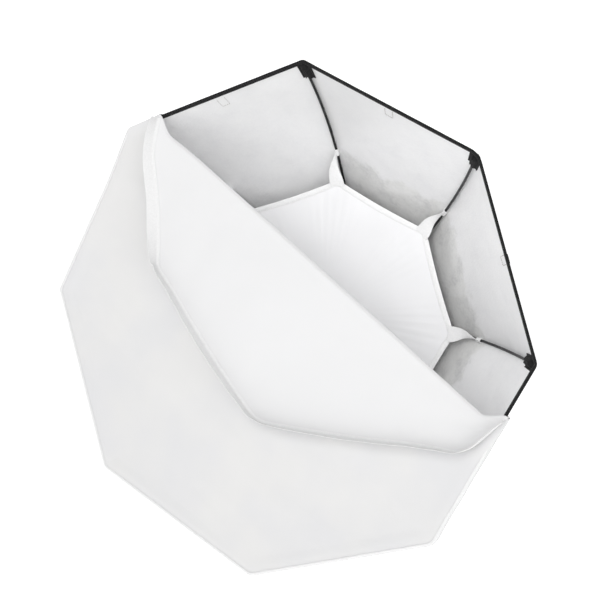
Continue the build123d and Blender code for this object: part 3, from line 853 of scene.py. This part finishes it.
def make_inner_diffuser():
    """A stretched sheet, pulled into fans of creases at its corners, with a puckered hem round it."""
    angles = full_turn(240)
    outer = inner_ring(angles, INNER_CORNER - 0.004) - BACK * INNER_Y
    share = np.linspace(0.004, 1, 44)[:, None]
    points = share[..., None] * outer + BACK * INNER_Y
    taut = share**3 * (1 - share**6) * (0.5 + 0.5 * np.cos(angles * SIDES))
    lift = 0.0030 * (1 - share**2) * ripple(points, 0.19, 2)
    lift += 0.0012 * (1 - share) ** 0.3 * ripple(points, 0.06, 5)
    lift += 0.0016 * taut * np.sin(angles * 9 * SIDES)
    points[..., 1] += lift
    cloth = Pile().grid(points, wrap_cols=True).piece(
        "inner_cloth", INNER_WHITE, "white_diffusion", thick=0.0005, stands_for=["inner_diffuser"])
    path = inner_ring(angles, INNER_CORNER - HEM_WIDE / 2)
    section = np.array(ellipse(HEM_WIDE, 0.0024, 16))
    sections = [section * (1, 1 + 0.16 * noise.noise(Vector(p) / 0.007)) for p in path]
    hem = Pile().tube(path, [outward(a) for a in angles], BACK, sections, closed=True).piece(
        "inner_hem", TAPE_WHITE, "white_tape", stands_for=["inner_diffuser_hem"])
    line = inner_ring(angles, INNER_CORNER, HEM_WIDE - 0.003) + TO_FRONT * 0.0012
    thread = Pile()
    stitches(thread, np.vstack([line, line[:1]]), TO_FRONT, pitch=0.0045)
    return cloth, [hem, thread.piece("inner_thread", WHITE_THREAD, "white_tape")]


STRAP_START = 0.0155                 # half a strap's width at the hem
STRAP_CLEAR = ROD_RADIUS + 0.0009    # how far its loop stands off the rod's centre line


def strap_points(k):
    """Webbing, flat and broad at the hem's corner, that turns to pass round the rod and back to itself."""
    out, along = outward(corner_angle(k)), clockwise(corner_angle(k))
    angle = angle_at_y(INNER_Y - STRAP_FORWARD)
    rod, normal = over_rod(k, angle)
    tangent = -out * math.sin(angle) + BACK * math.cos(angle)
    start = out * (INNER_CORNER - 0.012) + BACK * (INNER_Y - 0.0018)
    entry = rod - normal * (STRAP_CLEAR + 0.0012)
    shares = np.linspace(-1, 1, 13)
    rows = []
    for t in np.linspace(0, 1, 30):
        turn = smooth_step((t - 0.15) / 0.85) * math.pi / 2
        width = along * math.cos(turn) + tangent * math.sin(turn)
        half = STRAP_START + (STRAP_END - STRAP_START) * smooth_step(t * 1.1)
        centre = start + (entry - start) * t - along * (0.0035 * math.sin(math.pi * t) ** 2)
        rows.append([centre + width * (half * s) for s in shares])
    for t in np.linspace(0, 1, 26)[1:]:
        a = -math.pi / 2 + 2 * math.pi * t
        reach = STRAP_CLEAR + 0.0010 * (1 - t)
        centre = rod + along * (reach * math.cos(a)) + normal * (reach * math.sin(a))
        rows.append([centre + tangent * (STRAP_END * (1 - 0.06 * t) * s) for s in shares])
    return np.array(rows)


def make_straps():
    """The straps from the inner diffuser's corners to the rods, a little uneven."""
    made = []
    for k in range(1, SIDES + 1):
        points = strap_points(k)
        points = points + BACK * (0.0004 * ripple(points, 0.012, k))[..., None]
        made.append(Pile().grid(points).piece(
            f"strap_{k}", TAPE_WHITE, "white_tape", thick=0.0009, stands_for=[f"inner_strap_{k}"]))
    return made


# ---- the front diffuser ----
FOLD_LINE = np.array(FOLD_POINT)     # where the fold leaves the rim
ALONG_FOLD = np.array(FOLD_AXIS)
TO_FLAP = np.array(FLAP_SIDE)
CLOTH_CORNER = LIP_CORNER - 0.0016


def in_front_plane(point):
    """(along the fold, towards the flap) of a point of the closed front plane."""
    offset = np.asarray(point, float) - FOLD_LINE
    return np.array([offset @ ALONG_FOLD, offset @ TO_FLAP])


FLAP_CORNERS = {k: in_front_plane(corner(k, CLOTH_CORNER)) for k in (1, 2, 3)}
CLOTH_ROUNDING = {1: 0.030, 2: 0.060, 3: 0.045, 4: 0.020, 5: 0.020, 6: 0.020, 7: 0.015, 8: 0.014}
FOLD_STARTS = (8, 1 - FOLD_FROM_CORNER_1)    # (side, share of it from its first corner)
FOLD_ENDS = (3, FOLD_FROM_CORNER_3)


def on_side(k, share):
    """A point of the cloth's edge and the way outward there, as a list of one."""
    a, b = corner(k, CLOTH_CORNER), corner(k % SIDES + 1, CLOTH_CORNER)
    return [(a + (b - a) * share, outward(side_angle(k)))]


def corner_arc(k, first, last, steps=7):
    """Part of a rounded corner of the cloth: -1 is where it leaves the side before it, 1 the side after."""
    radius = CLOTH_ROUNDING[k]
    centre = outward(corner_angle(k)) * (CLOTH_CORNER - radius / TO_SIDE)
    ways = [outward(corner_angle(k) - HALF_SIDE * t) for t in np.linspace(first, last, steps)]
    return [(centre + way * radius, way) for way in ways]


def edge_run(start, end, steps):
    """Points and outward directions along the cloth's edge, clockwise.

    start and end are a corner's number, for the middle of its arc, or (side, share) for a point on a side.
    """
    from_corner, to_corner = isinstance(start, int), isinstance(end, int)
    run = corner_arc(start, 0, 1) if from_corner else on_side(*start)
    k, last = (start if from_corner else start[0]), (end if to_corner else end[0])
    while k != last:
        k = k % SIDES + 1
        run += corner_arc(k, -1, 0 if to_corner and k == last else 1)
    if not to_corner:
        run += on_side(*end)
    places, ways = (np.array(part) for part in zip(*run))
    length = np.concatenate([[0], np.cumsum(np.linalg.norm(np.diff(places, axis=0), axis=1))])
    at = np.linspace(0, length[-1], steps)
    places, ways = (np.stack([np.interp(at, length, axis) for axis in part.T], 1) for part in (places, ways))
    return places, ways / np.linalg.norm(ways, axis=1)[:, None]


def rounded_outline():
    """The front cloth's outline in the fold's terms, clockwise."""
    corners = [corner_arc(k, -1, 1) for k in range(1, SIDES + 1)]
    return np.array([in_front_plane(place) for arc in corners for place, _ in arc])


def chord(outline, across):
    """Where a line at that distance from the fold enters and leaves the outline."""
    hits = []
    for a, b in zip(outline, np.roll(outline, -1, axis=0)):
        low, high = sorted((a[1], b[1]))
        if low <= across <= high and high - low > 1e-9:
            t = (across - a[1]) / (b[1] - a[1])
            hits.append(a[0] + (b[0] - a[0]) * t)
    if hits:
        return min(hits), max(hits)
    nearest = outline[np.abs(outline[:, 1] - across).argmin()][0]
    return nearest, nearest


SLACK_CORNER = corner(8, CLOTH_CORNER)
SLACK_SHIFT = np.array([-0.0100, 0.0, -0.0088])    # the fastened half's cloth sits low, off this corner
SLACK_REACH = 0.085


def slacken(point):
    """The point, drawn along with the slack corner of the fastened half if it is near."""
    away = math.hypot(point[0] - SLACK_CORNER[0], point[2] - SLACK_CORNER[2])
    return np.asarray(point) + SLACK_SHIFT * math.exp(-(away / SLACK_REACH) ** 2)


FOLD_LENGTH = in_front_plane(on_side(*FOLD_ENDS)[0][0])[0]
FOLD_SAG = (0.0210, 0.0240)          # how far the fold hangs below a straight line, near its two ends
FOLD_TUCK = 0.003                    # at its very end it is drawn up over the rim
SAG_DEPTH = 0.16                     # the sag fades over this distance from the fold
FOLD_RADIUS = 0.0012                 # the two layers close up on each other at the fold
CLOSING_UP = 0.11                    # how far from the fold they begin to


def close_up(distance):
    """How far a layer has left its own plane, towards the fold's axis, at that distance from the fold."""
    return (ROLL_RADIUS - FOLD_RADIUS) * (1 - smooth_step(distance / CLOSING_UP))


def fold_sag(along):
    """How far the fold hangs below the straight line between its ends."""
    share = min(max(along / FOLD_LENGTH, 0.0), 1.0)
    first, last = smooth_step(share / 0.06), smooth_step((1 - share) / 0.045)
    hanging = FOLD_SAG[0] + (FOLD_SAG[1] - FOLD_SAG[0]) * share
    return hanging * first * last - FOLD_TUCK * (1 - last)


# how far the flap's corners hang from where a stiff sheet would lie, along the fold and from the fold
FLAP_SLACK = {1: (0.011, -0.014), 2: (-0.009, 0.005), 3: (0.006, -0.018)}
FLAP_SLACK_REACH = 0.13


def flap_slack(along, from_fold):
    """The drift of a point of the hanging flap in its own plane: it is gathered towards the fold's ends."""
    pull, total = np.zeros(2), 0.0
    for k, shift in FLAP_SLACK.items():
        away = (np.array([along, from_fold]) - FLAP_CORNERS[k]) / FLAP_SLACK_REACH
        near = math.exp(-(away**2).sum())
        pull += near * np.array(shift)
        total += near
    return pull / max(total, 1.0) * smooth_step(from_fold / 0.08)


COS_FLAP, SIN_FLAP = math.cos(FLAP_ANGLE), math.sin(FLAP_ANGLE)


def flap_place(along, from_fold, lift=0.0):
    """A point of the folded flap: lift is towards the front, off its cloth."""
    drift = flap_slack(along, from_fold)
    along, from_fold = along + drift[0], from_fold + drift[1]
    from_fold += fold_sag(along) * (1 - smooth_step(from_fold / SAG_DEPTH))
    behind = -ROLL_RADIUS - lift
    return slacken(FOLD_LINE + ALONG_FOLD * along
                   + TO_FLAP * (from_fold * COS_FLAP - behind * SIN_FLAP)
                   + TO_FRONT * (from_fold * SIN_FLAP + behind * COS_FLAP))


SIDE_WAYS = np.array([outward(side_angle(k)) for k in range(1, SIDES + 1)])


def edge_distance(point):
    """How far inside the cloth's edge a point of the closed front plane lies."""
    return CLOTH_CORNER * TO_SIDE - (SIDE_WAYS @ point).max()


BUNCHES = ((0.0, 0.05, 0.0025), (FOLD_LENGTH, 0.06, 0.0045))    # (along the fold, reach, height)


def bunching(along, across):
    """Wrinkles where the folded cloth is gathered round the rim, at the two ends of the fold."""
    lift = 0.0
    for end, reach, high in BUNCHES:
        away = math.hypot(along - end, across)
        turn = math.atan2(across, abs(along - end) + 1e-6)
        wander = 4 * noise.noise(Vector((turn, end, 2.2)))
        lift += high * math.exp(-(away / reach) ** 2) * math.sin(9 * turn + wander)
    return lift


OVER_RIM = 0.012                     # the width of the cloth that lies flat over the rim


def attached_lift(along, across, edge):
    """How far the fastened half stands towards the front. It is slack below the fold and taut at its rim."""
    p = FOLD_LINE + ALONG_FOLD * along + TO_FLAP * across
    free = edge - OVER_RIM
    slack = 0.5 * smooth_step(free / 0.022) + 0.5 * smooth_step(free / 0.08)
    run = noise.noise(Vector((along / 0.30, across / 0.07, 3.1)))
    broad = noise.noise(Vector(p) / 0.17 + Vector((4.0, 0, 1.0)))
    fine = noise.noise(Vector((along / 0.09, across / 0.022, 9.4)))
    lift = slack * (-0.0046 - 0.0034 * run - 0.0026 * broad - 0.0008 * fine + 0.5 * bunching(along, across))
    return min(lift + close_up(-across), ROLL_RADIUS - FOLD_RADIUS)


def flap_lift(along, from_fold):
    """How far the hanging flap bulges towards the front."""
    broad = noise.noise(Vector((along / 0.16, from_fold / 0.22, 6.2)))
    pleat = noise.noise(Vector((along / 0.045, from_fold / 0.40, 1.7)))
    fine = noise.noise(Vector((along / 0.05, from_fold / 0.05, 2.9)))
    free = smooth_step(from_fold / 0.06)
    bulge = 0.0035 * broad + 0.0022 * pleat * smooth_step(1 - along / 0.5) + 0.0008 * fine - 0.0010
    lift = free * bulge + bunching(along, from_fold) * smooth_step(from_fold / 0.03)
    return max(lift - close_up(from_fold), FOLD_RADIUS - ROLL_RADIUS)


def sharpen_fold(mesh):
    """Parts the shading at the fold's two middle rows."""
    for edge in mesh.edges:
        a, b = [(np.array(mesh.vertices[v].co) - FOLD_LINE) @ TO_FRONT for v in edge.vertices]
        same_row = a * b > 0
        if same_row and max(abs(a), abs(b)) < 0.25 * FOLD_RADIUS:
            edge.use_edge_sharp = True


def attached_row(across, ends, cols):
    """A row of the fastened half, at that distance from the fold (below 0)."""
    row = []
    for along in np.linspace(*ends, cols):
        place = FOLD_LINE + ALONG_FOLD * along + TO_FLAP * across
        edge = min(edge_distance(place), -across * 1.5)
        sag = fold_sag(along) * (1 - smooth_step(-across / SAG_DEPTH))
        lift = CLOTH_Y - FOLD_LINE[1] - attached_lift(along, across, edge)
        row.append(slacken(place - TO_FLAP * sag + BACK * lift))
    return row


def roll_row(turn, ends, cols):
    """A row round the fold itself, turned by that angle from the fastened half."""
    row = []
    for along in np.linspace(*ends, cols):
        plump = FOLD_RADIUS * (1 + 0.10 * math.sin(turn) * noise.noise(Vector((along / 0.05, 0, 7.7))))
        place = FOLD_LINE + ALONG_FOLD * along + TO_FLAP * (plump * math.sin(turn) - fold_sag(along))
        row.append(slacken(place - TO_FRONT * (plump * math.cos(turn))))
    return row


def make_front_cloth():
    """One sheet: fastened below the fold, rolled over at it, and hanging back down in front of itself."""
    outline = rounded_outline()
    distances = outline[:, 1]
    cols = 120
    below = np.unique(np.concatenate([np.linspace(distances.min(), 0, 66), distances[distances < 0]]))
    above = np.unique(np.concatenate([np.linspace(0, distances.max(), 44), distances[distances > 0]]))
    rows = [attached_row(across, chord(outline, across), cols) for across in below]
    rows += [roll_row(turn, chord(outline, 0.0), cols) for turn in np.linspace(0, FLAP_ANGLE, 14)[1:-1]]
    for from_fold in above:
        rows.append([flap_place(along, from_fold, flap_lift(along, from_fold))
                     for along in np.linspace(*chord(outline, from_fold), cols)])
    cloth = Pile().grid(rows).piece(
        "front_cloth", FRONT_WHITE, "white_diffusion", thick=0.0005,
        stands_for=["front_diffuser", "diffuser_flap"], merge=1e-5, body=None)
    sharpen_fold(cloth.data)
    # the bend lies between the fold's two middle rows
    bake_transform(cloth)
    return cloth


def lip_profile():
    """The fastened lip's section, as (corner radius, y), from its seam over the rim to its rear edge."""
    over_rim = [(-0.0068, -0.0006), (-0.0050, -0.0012), (-0.0026, -0.0008), (-0.0006, 0.0018),
                (0.0002, 0.0060)]
    shoulder = [(LIP_CORNER + out, CLOTH_Y + back) for out, back in over_rim]
    rear_y = RIM_REAR + LIP_LONG
    start = np.array([LIP_CORNER - 0.0004, RIM_REAR + 0.002])
    end = np.array([arc_point(angle_at_y(rear_y), LIP_OFF)[0], rear_y])
    return np.array([*shoulder, *(start + (end - start) * t for t in np.linspace(0, 1, 7))])


def make_fastened_lip():
    """The lip that holds the closed half over the rim, gathered a little at its rear edge."""
    profile = lip_profile()
    rows = []
    for place, way in zip(*edge_run(FOLD_ENDS, FOLD_STARTS, 300)):
        row = []
        for j, (radius, y) in enumerate(profile):
            rear = max(0.0, (j - 4) / (len(profile) - 5))    # 0 over the rim and 1 at the rear edge
            p = place + way * ((radius - CLOTH_CORNER) * TO_SIDE) + BACK * y
            wave = 0.0012 * rear * noise.noise(Vector(p) / 0.012) + 0.0006 * noise.noise(Vector(p) / 0.03)
            creep = 0.0025 * rear * noise.noise(Vector(p) / 0.02 + Vector((9, 0, 0)))
            row.append(slacken(p + way * wave + BACK * creep))
        rows.append(row)
    lip = Pile().grid(rows).piece("fastened_lip", SHADED_LIP_TAPE, "white_tape", thick=0.0007,
                                  stands_for=["front_diffuser_lip"])
    seam = np.array([row[0] for row in rows]) + TO_FRONT * 0.0005
    thread = Pile()
    stitches(thread, seam, TO_FRONT, pitch=0.005, long=0.0036)
    return [lip, thread.piece("lip_thread", WHITE_THREAD, "white_tape")]


LIP_BEND = 0.008                     # length over which a loose lip bends out of the cloth
LIP_SHORT = 0.02                     # share of a side by which a loose lip stops short of the fold
LIP_OVERLAP = 0.005                  # how far inside the cloth's edge it starts
LIP_OFF_CLOTH = 0.0006
LIP_LEAN = {8: 28, 1: 82, 2: 88, 3: 98}    # degrees from the cloth, at the middle of each loose side
CORNER_LEAN = 102.0                  # degrees from the cloth, at the flap's corners


def bent_lip(lean, s):
    """(outward, off the cloth) of a lip's point s from its root: it bends up, then runs straight."""
    angle = math.radians(lean)
    turned = angle * min(s / LIP_BEND, 1.0)
    straight = max(s - LIP_BEND, 0.0)
    return (LIP_BEND / angle * math.sin(turned) + straight * math.cos(angle),
            LIP_BEND / angle * (1 - math.cos(turned)) + straight * math.sin(angle))


def flap_lip(k, lean):
    """The loose lip on side k of the flap. lean is its angle from the cloth at mid-side, in degrees."""
    start = (k, FOLD_STARTS[1] + LIP_SHORT) if k == FOLD_STARTS[0] else k
    end = (k, FOLD_ENDS[1] - LIP_SHORT) if k == FOLD_ENDS[0] else k % SIDES + 1
    at_ends = [CORNER_LEAN if isinstance(stop, int) else 90.0 for stop in (start, end)]
    places, ways = edge_run(start, end, 90)
    rows = []
    for place, way, t in zip(places, ways, np.linspace(0, 1, len(places))):
        bell = math.sin(math.pi * t) ** 0.6
        angle = at_ends[int(t > 0.5)] * (1 - bell) + lean * bell
        base = in_front_plane(place - way * LIP_OVERLAP)
        out = np.array([way @ ALONG_FOLD, way @ TO_FLAP])
        root = flap_lift(*base) + LIP_OFF_CLOTH
        row = []
        for s in np.linspace(0, LIP_LONG, 14):
            reach, rise = bent_lip(angle, s)
            drift = 0.0010 * (s / LIP_LONG) * noise.noise(Vector(place) / 0.03 + Vector((k, s * 20, 0)))
            row.append(flap_place(*(base + out * (reach + drift)), root + rise))
        rows.append(row)
    piece = Pile().grid(rows).piece(
        f"flap_lip_{k}", SHADED_LIP_TAPE, "white_tape", thick=0.0007, stands_for=["flap_lip"], body="flap")
    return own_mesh(piece)


def make_front_diffuser():
    """The front cloth with its fastened lip and the loose lip of each of the flap's four sides."""
    cloth = make_front_cloth()
    pieces = make_fastened_lip()
    pieces += [flap_lip(k, lean) for k, lean in LIP_LEAN.items()]


# ---- CAD nodes that show, in their materials ----
def dress_cad_nodes():
    """Gives the rods, the ring, the insert and the lock their materials."""
    rod, coat, moulded = rod_material(), powder_coat_material(), moulded_material()
    cast = machined_material("cast_aluminium", (0.62, 0.63, 0.65), 0.42)
    steel = machined_material("turned_steel", (0.5, 0.51, 0.52), 0.34)
    brass = machined_material("turned_brass", (0.78, 0.6, 0.3), 0.35)
    wear = {"bayonet_insert": cast, "retaining_plate": steel, "retaining_screws": steel, "lock_stud": steel,
            "lock_shoe": brass, "speed_ring": coat, "lock_knob": moulded, "rod_caps": moulded}
    wear.update({f"rod_{k}": rod for k in range(1, SIDES + 1)})
    for node, material in wear.items():
        slots = frame["nodes"][node].material_slots
        for item in slots:
            item.material = material
        if not slots:
            frame["nodes"][node].data.materials.append(material)


def fill_the_inside():
    """A lamp for the inside alone, in place of the light that real cloth lets through."""
    lamp = area_light("inside", (0.9, -4.4, 0.9), (0, -0.2, 0), 2.0, 36)
    inside = bpy.data.collections.new("lit_inside")
    names = ["shell_lining", "inner_cloth", "inner_hem", *[f"strap_{k}" for k in range(1, SIDES + 1)]]
    for name in names:
        inside.objects.link(bpy.data.objects[name])
    lamp.light_linking.receiver_collection = inside
    lamp.light_linking.blocker_collection = inside


make_shell()
make_seams()
make_rim()
make_tapes_and_tabs()
make_pockets()
make_collar()
inner, inner_trim = make_inner_diffuser()
inner_trim += make_straps()
make_front_diffuser()
dress_cad_nodes()
fill_the_inside()
